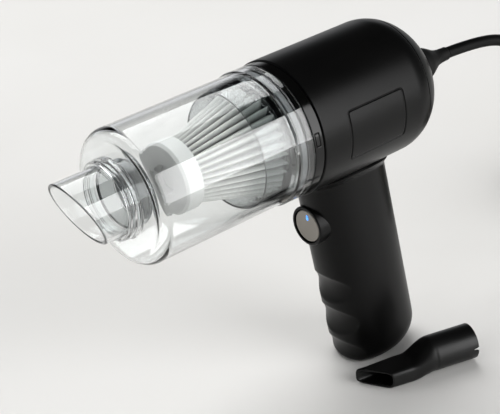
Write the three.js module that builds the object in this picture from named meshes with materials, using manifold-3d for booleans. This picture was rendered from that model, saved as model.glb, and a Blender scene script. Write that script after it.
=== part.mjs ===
// Corded handheld vacuum with a clear dust cup, a conical pleated filter, a pistol grip and a loose
// crevice tool. Millimetres. +Z is up, the barrel lies level along X with its nozzle towards -X, and
// the origin is on the table under the foot of the handle. XZ is the plane of symmetry.
import * as THREE from 'three';
import { mergeVertices } from 'three/addons/utils/BufferGeometryUtils.js';
import Module from 'manifold-3d';

const wasm = await Module();
wasm.setup();

// ---- driving dimensions -------------------------------------------------------------------------
const GAP = 0.3; // clearance between touching pieces
const ROUND = 40; // segments of a large round piece
const SMALL_ROUND = 20; // segments of a small round piece

const AXIS_Z = 166.5; // height of the barrel's axis over the sole
const SEAM_X = -57; // x of the seam between the lock ring and the motor housing

const BODY_R = 39; // motor housing, outside
const WALL = 2.2; // moulded wall
const HOUSING_END = 79.5; // housing from the seam to the rear cap
const DOME_START = 70.6; // the body's straight side ends here and the elliptical dome begins
const DOME_LENGTH = 31.1; // from there to the crown
const RELIEF_HOLE_R = 12; // hole in the crown for the strain relief
const BOSS_Y = 17.5; // screw bosses of the cord clamp, either side of the axis

const RING_R = 36.6; // lock ring, outside its front part: the cup's skirt goes over it
const RING_WALL = 3;
const BAND_R = 38.3; // its bare band behind the skirt, which holds the catches
const BAND_START = -6.6;
const RING_START = -10; // front of the lock ring

const CUP_R = 37.4; // dust cup, outside
const CUP_WALL = 2;
const CUP_START = -107; // front face of the dust cup
const CUP_EDGE = 8; // rounding of its front edge
const SKIRT_R = 38.3; // skirt of the cup round the lock ring, outside
const SKIRT_END = -6.9;
const COLLAR_R = 22; // collar round the inlet
const COLLAR_START = -115;
const NOZZLE_R = 19.2; // nozzle tube, outside
const NOZZLE_WALL = 1.6;
const NOZZLE_MOUTH = -132; // middle of the slanted mouth
const NOZZLE_SLANT = 0.45; // how far the top of the mouth leads its axis, per mm of height
const NOZZLE_RISE = 2; // the inlet's axis over the barrel's
const SLEEVE_END = -98; // inner end of the inlet sleeve

const FILTER_FRONT = -78; // front of the filter's end cap
const FILTER_CAP_R = 20;
const PLEATS = 36;
const PLEAT_START = -67;
const PLEAT_END = -20;
const PLEAT_FRONT_R = 17.5;
const PLEAT_REAR_R = 31;
const PLEAT_DEPTH = 3.2;

const CATCH_HALF = THREE.MathUtils.degToRad(5.5); // half the angle that a catch takes up
const CATCH_POCKET = [-5.4, -2.4]; // along the barrel, from the seam
const CATCH_RAISE = THREE.MathUtils.degToRad(10); // its middle sits this far above the side

const SHAFT_R = 1.6;
const MOTOR_R = 21.8;
const MOTOR_START = 29; // front of the motor
const MOTOR_END = 66;

const GRIP_SLOPE = 0.157; // the handle leans back this far per mm of drop
const GRIP_MIDDLE = 36.2; // where the handle's middle line crosses the barrel's axis, from the seam
const GRIP_HALF_DEPTH = 28.5;
const GRIP_HALF_WIDTH = 20;
const GRIP_POWER = 2.15; // exponent of the superellipse section
const GRIP_INSET = 5.4; // outside to inside, deep enough for the grooves
// Screws through the housing into the handle's walls: distance from the seam, depth of the head's seat.
const HANDLE_SCREWS = [[16.5, 36.3], [67.6, 35.1]];
const GROOVES = [54.3, 30.9, 7.6]; // heights of the finger grooves over the sole
const GROOVE_DEPTH = 2.6;
const GROOVE_HALF = 9.3; // half the height of one groove
const FOOT_FRONT_R = 3.4; // rounding of the foot in front
const FOOT_SIDE_R = 10; // at its sides
const FOOT_REAR_R = 19; // and behind
const FOOT_Z = 0.5; // the shell's underside: the sole pad stands this far out

const BUTTON_X = SEAM_X + 15.2; // front face of the button bezel
const BUTTON_Z = AXIS_Z - 66.8;
const BEZEL_R = 11.9;
const BUTTON_R = 9.9;

const LEAD_R = 1.6; // leads inside the body
const LEAD_Y = 3; // they run this far either side of the middle under the motor
const LEAD_DROP = 31; // and this far under the barrel's axis

const CORD_R = 3.4;
const RELIEF_END = 131; // tip of the strain relief, from the seam
const COIL_X = 252; // middle of the coil
const COIL_R = 49; // radius at the middle of the turns
const COIL_HALF = 14.2; // half the width and height of the bundle of turns

const TOOL_R = 10.6; // socket of the crevice tool
const TOOL_LENGTH = 64;
const TOOL_SOCKET = [32.6, -53.8]; // x, y of the socket's open end
const TOOL_TURN = THREE.MathUtils.degToRad(162.6); // direction from the socket to the mouth

// ---- materials ----------------------------------------------------------------------------------
const finish = (color, roughness, metalness = 0, opacity = 1) =>
  new THREE.MeshStandardMaterial({ color, roughness, metalness, opacity, transparent: opacity < 1 });
const satinBlack = finish(0x141414, 0.5);
const glossBlack = finish(0x0c0c0d, 0.12);
const clear = finish(0xe8ecec, 0.05, 0, 0.3);
const frosted = finish(0xe9e9e6, 0.45);
const paper = finish(0xd2d2cf, 0.9);
const greyPlastic = finish(0x8d9090, 0.35);
const rubber = finish(0x1a1a1a, 0.8);
const greyRubber = finish(0x5b5d5e, 0.6);
const steel = finish(0xb8babc, 0.3, 1);
const gunmetal = finish(0x4b4b49, 0.35, 0.8);
const blueLight = finish(0x4c9dff, 0.3);
const greenBoard = finish(0x1f5c3a, 0.6);
const brass = finish(0xc0a050, 0.3, 1);
const whitePlastic = finish(0xe4e4e0, 0.5);

// ---- solids -------------------------------------------------------------------------------------
// A closed mesh with shared vertices, no empty triangles and its faces pointing out.
function closed(geometry) {
  const bare = geometry.clone();
  bare.deleteAttribute('normal');
  bare.deleteAttribute('uv');
  const merged = mergeVertices(bare, 1e-4);
  const old = merged.index.array;
  const position = merged.attributes.position;
  const kept = [];
  let volume = 0;
  const [a, b, c] = [new THREE.Vector3(), new THREE.Vector3(), new THREE.Vector3()];
  for (let i = 0; i < old.length; i += 3) {
    const [p, q, r] = [old[i], old[i + 1], old[i + 2]];
    if (p === q || q === r || r === p) continue;
    kept.push(p, q, r);
    a.fromBufferAttribute(position, p);
    b.fromBufferAttribute(position, q);
    c.fromBufferAttribute(position, r);
    volume += a.dot(b.cross(c)) / 6;
  }
  if (volume < 0) kept.reverse();
  merged.setIndex(kept);
  return merged;
}

function solid(geometry) {
  const mesh = closed(geometry);
  return new wasm.Manifold(new wasm.Mesh({
    numProp: 3,
    vertProperties: new Float32Array(mesh.attributes.position.array),
    triVerts: new Uint32Array(mesh.index.array),
  }));
}

function shape(manifold) {
  const mesh = manifold.getMesh();
  const geometry = new THREE.BufferGeometry();
  geometry.setAttribute('position', new THREE.BufferAttribute(new Float32Array(mesh.vertProperties), 3));
  geometry.setIndex(new THREE.BufferAttribute(new Uint32Array(mesh.triVerts), 1));
  return geometry;
}

const root = new THREE.Group();
const barrel = new THREE.Group(); // everything measured from the seam on the barrel's axis
barrel.position.set(SEAM_X, 0, AXIS_Z);
root.add(barrel);

function add(name, piece, material, parent = root) {
  const geometry = piece.isBufferGeometry ? closed(piece) : shape(piece);
  geometry.computeVertexNormals();
  const mesh = new THREE.Mesh(geometry, material);
  mesh.name = name;
  parent.add(mesh);
  return mesh;
}

// A profile of [radius, distance] points turned about X; distance runs along +X.
function turned(profile, segments = ROUND) {
  const points = profile.map(([r, u]) => new THREE.Vector2(r, u));
  return new THREE.LatheGeometry(points, segments).rotateZ(-Math.PI / 2);
}

// The same, closed on itself: a ring.
const ring = (profile, segments = ROUND) => turned([...profile, profile[0]], segments);

// A plain tube or washer about X.
const sleeve = (inner, outer, start, end, segments = ROUND) =>
  ring([[inner, start], [outer, start], [outer, end], [inner, end]], segments);

// A solid bar about X.
const bar = (radius, start, end, segments = SMALL_ROUND) =>
  turned([[0, start], [radius, start], [radius, end], [0, end]], segments);

// A solid post hanging down from the barrel's axis, between two depths.
const post = (radius, start, end, segments) => bar(radius, start, end, segments).rotateY(Math.PI / 2);

// Points of a quarter round from angle a to b (degrees) about [r, u].
function arc(r, u, radius, a, b, steps = 3) {
  return Array.from({ length: steps + 1 }, (_, i) => {
    const t = THREE.MathUtils.degToRad(a + ((b - a) * i) / steps);
    return [r + radius * Math.cos(t), u + radius * Math.sin(t)];
  });
}

const box = (x, y, z, dx, dy, dz) => new THREE.BoxGeometry(dx, dy, dz).translate(x, y, z);

// A closed skin over rings of points: each ring holds the same number of points, the ends are flat.
function skin(rings) {
  const count = rings[0].length;
  const position = rings.flat(2);
  const index = [];
  const at = (i, j) => i * count + (j % count);
  for (let i = 0; i + 1 < rings.length; i += 1) {
    for (let j = 0; j < count; j += 1) {
      index.push(at(i, j), at(i, j + 1), at(i + 1, j));
      index.push(at(i, j + 1), at(i + 1, j + 1), at(i + 1, j));
    }
  }
  [0, rings.length - 1].forEach((i) => {
    const middle = [0, 1, 2].map((k) => rings[i].reduce((sum, p) => sum + p[k], 0) / count);
    const centre = position.length / 3;
    position.push(...middle);
    for (let j = 0; j < count; j += 1) {
      if (i === 0) index.push(centre, at(i, j + 1), at(i, j));
      else index.push(centre, at(i, j), at(i, j + 1));
    }
  });
  const geometry = new THREE.BufferGeometry();
  geometry.setAttribute('position', new THREE.Float32BufferAttribute(position, 3));
  geometry.setIndex(index);
  return geometry;
}

const signedPower = (value, power) => Math.sign(value) * Math.abs(value) ** power;

// A tube along a curve through points.
function tube(points, radius, sides, steps) {
  const circle = Array.from({ length: sides }, (_, i) => {
    const t = (2 * Math.PI * i) / sides;
    return new THREE.Vector2(radius * Math.cos(t), radius * Math.sin(t));
  });
  const path = new THREE.CatmullRomCurve3(points.map((p) => new THREE.Vector3(...p)));
  return new THREE.ExtrudeGeometry(new THREE.Shape(circle), { steps, extrudePath: path });
}

// ---- dust cup and inlet -------------------------------------------------------------------------
function buildCup() {
  const inside = CUP_R - CUP_WALL;
  add('dust_cup', ring([
    [SKIRT_R, SKIRT_END],
    [SKIRT_R, RING_START - 7],
    [CUP_R, RING_START - 8],
    ...arc(CUP_R - CUP_EDGE, CUP_START + CUP_EDGE, CUP_EDGE, 0, -90),
    [COLLAR_R - 1.5, CUP_START],
    [COLLAR_R - 1.5, CUP_START + CUP_WALL],
    ...arc(inside - CUP_EDGE + CUP_WALL, CUP_START + CUP_EDGE, CUP_EDGE - CUP_WALL, -90, 0),
    [inside, RING_START - GAP],
    [RING_R + GAP, RING_START - GAP],
    [RING_R + GAP, SKIRT_END],
  ]), clear, barrel);

  const inlet = new THREE.Group();
  inlet.position.z = NOZZLE_RISE;
  barrel.add(inlet);
  const bore = NOZZLE_R + GAP;
  // The rise leaves the collar's spigot room in the cup's concentric hole.
  add('inlet_collar', ring([
    [bore, COLLAR_START],
    [COLLAR_R - 1, COLLAR_START],
    [COLLAR_R, COLLAR_START + 1],
    [COLLAR_R, CUP_START - GAP],
    [bore, CUP_START - GAP],
  ], 36), clear, inlet);

  const tubeRing = sleeve(NOZZLE_R - NOZZLE_WALL, NOZZLE_R, NOZZLE_MOUTH - 12, CUP_START - 1, 36);
  const cutter = new THREE.BoxGeometry(60, 80, 120);
  cutter.translate(-30, 0, 0);
  cutter.rotateY(Math.atan(NOZZLE_SLANT));
  cutter.translate(NOZZLE_MOUTH, 0, 0);
  add('nozzle', solid(tubeRing).subtract(solid(cutter)), clear, inlet);

  add('inlet_sleeve', sleeve(16.2, 18.2, CUP_START - 0.4, SLEEVE_END, 36), greyPlastic, inlet);

  const flapRadius = 17.4;
  const hingeZ = 19.6;
  const flap = solid(bar(flapRadius, SLEEVE_END + GAP, SLEEVE_END + 1.8, 24))
    .add(solid(box(SLEEVE_END + 1.05, 0, hingeZ - 1.8, 1.5, 12, 3.6)));
  add('inlet_flap', flap, greyRubber, inlet);
}

// ---- filter -------------------------------------------------------------------------------------
function buildFilter() {
  add('filter_cap', turned([
    [0, FILTER_FRONT + 4],
    [7, FILTER_FRONT + 4],
    [8, FILTER_FRONT],
    [FILTER_CAP_R - 2, FILTER_FRONT],
    [FILTER_CAP_R, FILTER_FRONT + 2],
    [FILTER_CAP_R, PLEAT_START - GAP],
    [0, PLEAT_START - GAP],
  ], 36), frosted, barrel);

  // A cone of pleats: each ring steps between a ridge and a valley, outside and inside.
  const star = (u, ridge, shift) => Array.from({ length: 2 * PLEATS }, (_, i) => {
    const t = (Math.PI * i) / PLEATS;
    const r = (i % 2 ? ridge - PLEAT_DEPTH : ridge) - shift;
    return [u, r * Math.sin(t), r * Math.cos(t)];
  });
  const paperWall = 1.6;
  const outer = skin([star(PLEAT_START, PLEAT_FRONT_R, 0), star(PLEAT_END, PLEAT_REAR_R, 0)]);
  const inner = skin([
    star(PLEAT_START - 1, PLEAT_FRONT_R, paperWall),
    star(PLEAT_END + 1, PLEAT_REAR_R, paperWall),
  ]);
  add('filter_pleats', solid(outer).subtract(solid(inner)), paper, barrel);

  // A bowl round the wide end of the pleats.
  add('filter_frame', ring([
    [31.6, PLEAT_END - 16.6],
    [32.7, PLEAT_END - 17],
    [33.6, PLEAT_END - 12],
    [34.3, PLEAT_END - 6],
    [34.6, PLEAT_END],
    [34.6, RING_START - 4.5],
    [27, RING_START - 4.5],
    [27, PLEAT_END + GAP],
    [PLEAT_REAR_R + 1, PLEAT_END + GAP],
    [32.7, PLEAT_END - 6],
    [32.3, PLEAT_END - 12],
  ], 36), greyPlastic, barrel);

  add('filter_gasket', sleeve(28.5, 34.9, RING_START - 4.2, RING_START - GAP, 36), rubber, barrel);
}

// ---- lock ring with its two catches -------------------------------------------------------------
function catchBlock(side, inner, outer, start, end, half) {
  const inside = bar(inner, start - 1, end + 1, ROUND);
  const wedge = new THREE.Shape([
    new THREE.Vector2(20, -20 * Math.tan(half)),
    new THREE.Vector2(60, -60 * Math.tan(half)),
    new THREE.Vector2(60, 60 * Math.tan(half)),
    new THREE.Vector2(20, 20 * Math.tan(half)),
  ]);
  const sector = new THREE.ExtrudeGeometry(wedge, { depth: end - start, bevelEnabled: false });
  sector.rotateZ(side * (Math.PI / 2)).rotateY(Math.PI / 2);
  sector.translate(start, 0, 0).rotateX(side * CATCH_RAISE);
  return solid(sector).intersect(solid(bar(outer, start - 1, end + 1, ROUND))).subtract(solid(inside));
}

function buildLockRing() {
  const start = RING_START;
  const inside = RING_R - RING_WALL;
  let body = solid(ring([
    [inside, start],
    [RING_R - 0.4, start],
    [RING_R, start + 0.5],
    [RING_R, BAND_START],
    [BAND_R - 0.4, BAND_START],
    [BAND_R, BAND_START + 0.4],
    [BAND_R, -GAP],
    [30.4, -GAP],
    [30.4, -3],
    [inside, -3],
  ]));
  const [front, back] = CATCH_POCKET;
  [1, -1].forEach((side) => {
    body = body.subtract(catchBlock(side, inside - 1, 60, front, back, CATCH_HALF));
  });
  add('lock_ring', body, glossBlack, barrel);
  [1, -1].forEach((side) => {
    const [inner, outer] = [BAND_R - 2.5, BAND_R - 0.1];
    const block = catchBlock(side, inner, outer, front + GAP, back - GAP, CATCH_HALF - 0.01);
    add(side > 0 ? 'catch_left' : 'catch_right', block, glossBlack, barrel);
  });
}

// ---- motor housing, side panels and rear cap ----------------------------------------------------
const PANEL = { start: 19.3, end: 59.2, half: THREE.MathUtils.degToRad(21), corner: 1.8, depth: 1.1 };

// A rounded rectangle wrapped on the barrel's side: u along X, height measured round the barrel.
function panelBlock(side, inset, inner, outer) {
  const half = BODY_R * Math.sin(PANEL.half) - inset;
  const [a, b] = [PANEL.start + inset, PANEL.end - inset];
  const r = PANEL.corner;
  const outline = new THREE.Shape();
  outline.moveTo(a + r, -half);
  outline.lineTo(b - r, -half);
  outline.absarc(b - r, -half + r, r, -Math.PI / 2, 0, false);
  outline.lineTo(b, half - r);
  outline.absarc(b - r, half - r, r, 0, Math.PI / 2, false);
  outline.lineTo(a + r, half);
  outline.absarc(a + r, half - r, r, Math.PI / 2, Math.PI, false);
  outline.lineTo(a, -half + r);
  outline.absarc(a + r, -half + r, r, Math.PI, 1.5 * Math.PI, false);
  const block = new THREE.ExtrudeGeometry(outline, { depth: 40, bevelEnabled: false, curveSegments: 4 });
  block.rotateX(Math.PI / 2);
  block.translate(0, side > 0 ? 60 : -20, 0);
  return solid(block)
    .intersect(solid(bar(outer, PANEL.start - 5, PANEL.end + 5, ROUND)))
    .subtract(solid(bar(inner, PANEL.start - 6, PANEL.end + 6, ROUND)));
}

// Points on the elliptical dome at these distances from the seam, drawn in by inset.
const dome = (distances, inset = 0) => distances.map((u) => {
  const t = (u - DOME_START) / (DOME_LENGTH - inset);
  return [(BODY_R - inset) * Math.sqrt(1 - t * t), u];
});

function buildHousing() {
  const inside = BODY_R - WALL;
  let body = solid(ring([
    [inside, 0],
    [BODY_R - 0.5, 0],
    [BODY_R, 0.6],
    ...dome([DOME_START, 73.5, 76.5, HOUSING_END]),
    ...dome([HOUSING_END, 75, DOME_START], WALL),
  ]));
  [1, -1].forEach((side) => {
    body = body.subtract(panelBlock(side, 0, BODY_R - PANEL.depth - GAP, BODY_R + 4));
    const panel = panelBlock(side, GAP, BODY_R - PANEL.depth, BODY_R);
    add(side > 0 ? 'side_panel_left' : 'side_panel_right', panel, satinBlack, barrel);
  });
  body = body.subtract(solid(post(6, 30, 50, 16).translate(44, 0, 0)));
  HANDLE_SCREWS.forEach(([u, seat], i) => {
    body = body.subtract(solid(post(1.4 + GAP, 30, 50, 12).translate(u, 0, 0)));
    const screw = solid(post(2.2, seat - 1.6, seat, 12)).add(solid(post(1.4, seat - 0.5, 46, 12)));
    add(`handle_screw_${i + 1}`, screw.translate([u, 0, 0]), steel, barrel);
  });
  add('motor_housing', body, satinBlack, barrel);

  // The cap finishes the dome, and a collar inside the crown seats the strain relief.
  const front = HOUSING_END + GAP;
  let cap = solid(ring([
    ...dome([front, 83, 86.5, 90, 93, 95.6, 97.8, 99.3]),
    [RELIEF_HOLE_R, 100.2],
    [RELIEF_HOLE_R, 94.3],
    [16.4, 94.3],
    ...dome([95.8, 93.6, 90.4, 87, 83, front], WALL),
  ]));
  [1, -1].forEach((side) => {
    cap = cap.add(solid(bar(2.6, 90.9, 96.5, 12).translate(0, side * BOSS_Y, 0)));
  });
  add('rear_cap', cap, satinBlack, barrel);

  add('strain_relief', turned([
    [0, 91],
    [14, 91],
    [14, 94],
    [RELIEF_HOLE_R - GAP, 94],
    [RELIEF_HOLE_R - GAP, 100.4],
    [10.8, 105],
    [10, 109],
    [9.2, 113],
    [7.2, 117],
    [5.4, 120.5],
    [4.4, 124],
    [4, 128],
    [3.9, RELIEF_END],
    [0, RELIEF_END],
  ], 24), rubber, barrel);
}

// ---- motor and fan ------------------------------------------------------------------------------
function buildMotor() {
  const holes = 8;
  let grille = solid(bar(30, -2.6, -1, 36));
  for (let i = 0; i < holes; i += 1) {
    const t = (2 * Math.PI * i) / holes;
    const hole = bar(6.4, -5, 3, 10).translate(0, 19 * Math.sin(t), 19 * Math.cos(t));
    grille = grille.subtract(solid(hole));
  }
  add('intake_grille', grille, satinBlack, barrel);

  add('fan_shroud', ring([
    [14, 4],
    [33.5, 6],
    [33.5, 24],
    [31.5, 24],
    [31.5, 8],
    [14, 6],
  ], 32), whitePlastic, barrel);

  // A back plate on a hub, with straight vanes standing forward from it.
  const vanes = 9;
  const bore = SHAFT_R + GAP;
  let impeller = solid(bar(29.5, 19.4, 20.8, 32)).add(solid(bar(6, 12, 20, 16)));
  for (let i = 0; i < vanes; i += 1) {
    const vane = box(16.4, 0, 16.5, 7, 1.1, 24).rotateX((2 * Math.PI * i) / vanes);
    impeller = impeller.add(solid(vane));
  }
  add('impeller', impeller.subtract(solid(bar(bore, 0, 30, 12))), whitePlastic, barrel);
  add('motor_shaft', bar(SHAFT_R, 10, MOTOR_END + 6, 12), steel, barrel);

  const frontFace = MOTOR_START + 5;
  add('motor_front_bell', ring([
    [bore, MOTOR_START],
    [MOTOR_R - 1.8, MOTOR_START],
    [MOTOR_R, MOTOR_START + 2],
    [MOTOR_R, frontFace],
    [bore, frontFace],
  ], 24), steel, barrel);
  add('motor_can', ring([
    [bore, frontFace + GAP],
    [MOTOR_R, frontFace + GAP],
    [MOTOR_R, MOTOR_END],
    [8, MOTOR_END],
    [8, MOTOR_END + 2.5],
    [bore, MOTOR_END + 2.5],
  ], 24), steel, barrel);

  const [inner, outer] = [MOTOR_R + GAP, BODY_R - WALL - GAP - 0.1];
  add('motor_mount_front', sleeve(inner, outer, MOTOR_START + 1, MOTOR_START + 5, 32), rubber, barrel);
  // The rear mount is notched below for the two leads.
  const rearMount = solid(sleeve(inner, outer, MOTOR_END - 8, MOTOR_END - 4, 32))
    .subtract(solid(box(MOTOR_END - 6, 0, -LEAD_DROP - 2, 8, 2 * (LEAD_Y + 2.2), 9)));
  add('motor_mount_rear', rearMount, rubber, barrel);
}

// ---- handle -------------------------------------------------------------------------------------
// Distance the front face is drawn in by the finger grooves at height z.
function grooveDepth(z) {
  return GROOVES.reduce((sum, middle) => {
    const t = Math.abs(z - middle) / GROOVE_HALF;
    return sum + (t < 1 ? GROOVE_DEPTH * Math.cos((t * Math.PI) / 2) ** 2 : 0);
  }, 0);
}

// One horizontal section of the grip at height z, drawn in by inset; the foot's edge is rounded.
function gripRing(z, inset, sides, grooved) {
  const middle = SEAM_X + GRIP_MIDDLE + GRIP_SLOPE * (AXIS_Z - z);
  return Array.from({ length: sides }, (_, i) => {
    const t = (2 * Math.PI * i) / sides;
    const [c, s] = [Math.cos(t), Math.sin(t)];
    const radius = THREE.MathUtils.lerp(FOOT_SIDE_R, c < 0 ? FOOT_FRONT_R : FOOT_REAR_R, Math.abs(c));
    const low = Math.max(0, radius - (z - FOOT_Z)) / radius;
    const drawn = radius * (1 - Math.sqrt(Math.max(0, 1 - low * low)));
    const wrap = Math.max(0, Math.cos(Math.min(Math.PI / 2, Math.acos(-c) * 2)));
    const groove = grooved ? grooveDepth(z) * wrap : 0;
    const x = (GRIP_HALF_DEPTH - inset - drawn) * signedPower(c, 2 / GRIP_POWER) + groove;
    const y = (GRIP_HALF_WIDTH - inset - drawn * 0.9) * signedPower(s, 2 / GRIP_POWER);
    return [middle + x, y, z];
  });
}

function buildHandle() {
  const top = AXIS_Z - 20;
  const grooved = GROOVES.flatMap((z) => [-0.9, -0.45, 0, 0.45, 0.9].map((t) => z + t * GROOVE_HALF));
  const levels = [FOOT_Z, 1.6, 2.8, 4.5, ...grooved.filter((z) => z > 6), 72, 110, top].sort((a, b) => a - b)
    .filter((z, i, all) => i === 0 || z - all[i - 1] > 1);
  const sides = 28;
  const outside = skin(levels.map((z) => gripRing(z, 0, sides, true)));
  const inside = skin([5, 9, 16, 24, 66, top + 1].map((z) => gripRing(z, GRIP_INSET, 20, false)));
  const saddle = bar(BODY_R + GAP, -20, 90, 64).translate(SEAM_X, 0, AXIS_Z);
  const bezelHole = bar(BEZEL_R + GAP, BUTTON_X - 5, BUTTON_X + 11, 32).translate(0, 0, BUTTON_Z);
  const sole = (inset, low, high) => skin([low, high].map((height) => (
    gripRing(FOOT_Z, inset, sides, false).map(([x, y]) => [x, y, height]))));
  let shell = solid(outside)
    .subtract(solid(inside))
    .subtract(solid(saddle))
    .subtract(solid(bezelHole))
    .subtract(solid(sole(1.6, -1, 1.6)));
  HANDLE_SCREWS.forEach(([u]) => {
    shell = shell.subtract(solid(post(1.4 + GAP, 30, 47, 12).translate(SEAM_X + u, 0, AXIS_Z)));
  });
  add('handle_shell', shell, satinBlack);
  add('sole_pad', sole(1.6 + GAP, 0, 1.3), rubber);
}

// ---- button -------------------------------------------------------------------------------------
function buildButton() {
  const button = new THREE.Group();
  button.position.set(BUTTON_X, 0, BUTTON_Z);
  root.add(button);
  const bore = BUTTON_R + GAP;
  add('button_bezel', ring([
    [bore, 0.6],
    [bore + 0.6, 0],
    [BEZEL_R - 0.8, 0],
    [BEZEL_R, 0.8],
    [BEZEL_R, 10.6],
    [7, 10.6],
    [7, 9.2],
    [bore, 9.2],
  ], 28), glossBlack, button);

  // A dished cap on a stem, with a slot for the light pipe.
  const lightZ = 5.2;
  const cap = solid(turned([
    [0, 1.1],
    [6, 0.9],
    [BUTTON_R - 0.8, 0.4],
    [BUTTON_R, 1.2],
    [BUTTON_R, 6.4],
    [2.6, 6.4],
    [2.6, 11.2],
    [0, 11.2],
  ], 28)).subtract(solid(box(2, 0, lightZ, 6, 1.6, 4.2)));
  add('power_button', cap, gunmetal, button);
  add('light_pipe', box(2.35, 0, lightZ, 3.1, 1.0, 3.6), blueLight, button);

  const coils = 4;
  const perTurn = 6;
  const helix = Array.from({ length: coils * perTurn + 1 }, (_, i) => {
    const t = (2 * Math.PI * i) / perTurn;
    return [6.9 + (4 * i) / (coils * perTurn), 4.4 * Math.cos(t), 4.4 * Math.sin(t)];
  });
  add('button_spring', tube(helix, 0.3, 4, coils * perTurn), steel, button);

  add('switch_body', box(17, 0, 0, 8.6, 13, 13), rubber, button);
  add('control_board', box(24.6, 0, -4, 1.6, 22, 34), greenBoard, button);
}

// ---- wiring held inside -------------------------------------------------------------------------
function buildWiring() {
  const intoHandle = (y) => [
    [64, y, -LEAD_DROP],
    [54, y, -LEAD_DROP],
    [47, y, -34.5],
    [43, y, -42],
    [39.4, y, -53],
  ];
  add('motor_lead', tube([
    [MOTOR_END + 0.8, -LEAD_Y, -12],
    [MOTOR_END + 4, -LEAD_Y, -13],
    [MOTOR_END + 5.5, -LEAD_Y, -18],
    [MOTOR_END + 4.5, -LEAD_Y, -26],
    ...intoHandle(-LEAD_Y),
  ], LEAD_R, 6, 14), rubber, barrel);
  add('supply_lead', tube([
    [90.6, 0, 0],
    [85, 0, -0.5],
    [79, 1, -4],
    [76, 2, -13],
    [73, LEAD_Y, -25],
    ...intoHandle(LEAD_Y),
  ], LEAD_R, 6, 18), rubber, barrel);

  // The clamp plate holds the flange of the strain relief against two bosses of the rear cap.
  const bore = solid(bar(LEAD_R + 1, 80, 95, 16).translate(0, 0, -0.2));
  add('cord_clamp', solid(box(89.1, 0, 0, 2.4, 42, 10)).subtract(bore)
    .subtract(solid(bar(1.4 + GAP, 80, 95, 12).translate(0, BOSS_Y, 0)))
    .subtract(solid(bar(1.4 + GAP, 80, 95, 12).translate(0, -BOSS_Y, 0))), whitePlastic, barrel);
  [1, -1].forEach((side, i) => {
    const screw = solid(bar(2.8, 85.9, 87.6, 12)).add(solid(bar(1.4, 87, 90.6, 12)));
    add(`clamp_screw_${i + 1}`, screw.translate([0, side * BOSS_Y, 0]), steel, barrel);
  });
}

// ---- cord, coil and plug ------------------------------------------------------------------------
// Points of the cord from the strain relief down to the first turn of the coil.
const ROUTE = [
  [SEAM_X + RELIEF_END + GAP, 0, 166.5],
  [82, 0, 166.1],
  [90, 0, 165.5],
  [98, -0.2, 164.7],
  [106, -0.5, 163.6],
  [113, -1, 162.2],
  [120, -1.8, 159.9],
  [127, -3, 156],
  [133.5, -4.9, 150.6],
  [139, -7, 144.3],
  [144.4, -9.8, 136],
  [150, -14.2, 123.6],
  [154.8, -19.5, 110],
  [158.8, -25.2, 96],
  [162.4, -31, 82],
  [166, -36.8, 68],
  [170, -42.4, 54.4],
  [175, -47.6, 41.4],
  [181.2, -52.2, 29.6],
  [189, -55.8, 19.4],
  [198.4, -58.2, 11.4],
  [209, -59.3, 6.2],
  [216, -59.5, 4.4],
  [222.5, -59.5, 3.6],
];

function buildCord() {
  add('cord', tube(ROUTE, CORD_R, 8, 26), rubber);

  const h = COIL_HALF;
  const bevel = 3;
  const coilMiddle = h + 0.1;
  const bundle = [
    [COIL_R - h, -h + bevel],
    [COIL_R - h + bevel, -h],
    [COIL_R + h - bevel, -h],
    [COIL_R + h, -h + bevel],
    [COIL_R + h, h - bevel],
    [COIL_R + h - bevel, h],
    [COIL_R - h + bevel, h],
    [COIL_R - h, h - bevel],
  ];
  add('cord_coil', ring(bundle, 32).rotateY(-Math.PI / 2).translate(COIL_X, 0, coilMiddle), rubber);

  // The tie is a strap over the bundle on the side away from the plug.
  const strap = 1.2;
  const inside = h + 0.7;
  const outer = box(COIL_X + COIL_R, 0, h + 0.5, 2 * (inside + strap), 9, 2 * h + 2 * strap);
  const hollow = box(COIL_X + COIL_R, 0, h - 1, 2 * inside, 10, 2 * (h + 1.4));
  const tie = solid(outer).subtract(solid(hollow));
  const floorTrim = box(COIL_X + COIL_R, 0, -5, 60, 20, 10.4);
  add('cord_tie', tie.subtract(solid(floorTrim)), rubber);

  // The plug lies on the turns, its two flat blades pointing along -Y.
  const plug = new THREE.Group();
  plug.position.set(COIL_X - COIL_R + 2, -14, 2 * h + 0.4);
  plug.rotation.z = Math.PI;
  root.add(plug);
  const plugRing = (y, halfX, halfZ, power) => Array.from({ length: 20 }, (_, i) => {
    const t = (2 * Math.PI * i) / 20;
    return [halfX * signedPower(Math.cos(t), power), y, 8 + halfZ * signedPower(Math.sin(t), power)];
  });
  add('plug_body', skin([
    plugRing(-34, 4.2, 4.2, 1),
    plugRing(-24, 4.6, 4.6, 1),
    plugRing(-17, 5.4, 5.2, 0.9),
    plugRing(-12, 9.5, 7, 0.7),
    plugRing(-2, 11.5, 7.8, 0.6),
    plugRing(4, 12.5, 7.9, 0.55),
    plugRing(6, 12, 7.4, 0.55),
  ]), rubber, plug);
  [1, -1].forEach((side) => {
    const blade = box(side * 6.35, 6 + GAP + 8.7, 8, 1.5, 17.4, 6.3);
    add(side > 0 ? 'plug_blade_left' : 'plug_blade_right', blade, brass, plug);
  });
}

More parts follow.
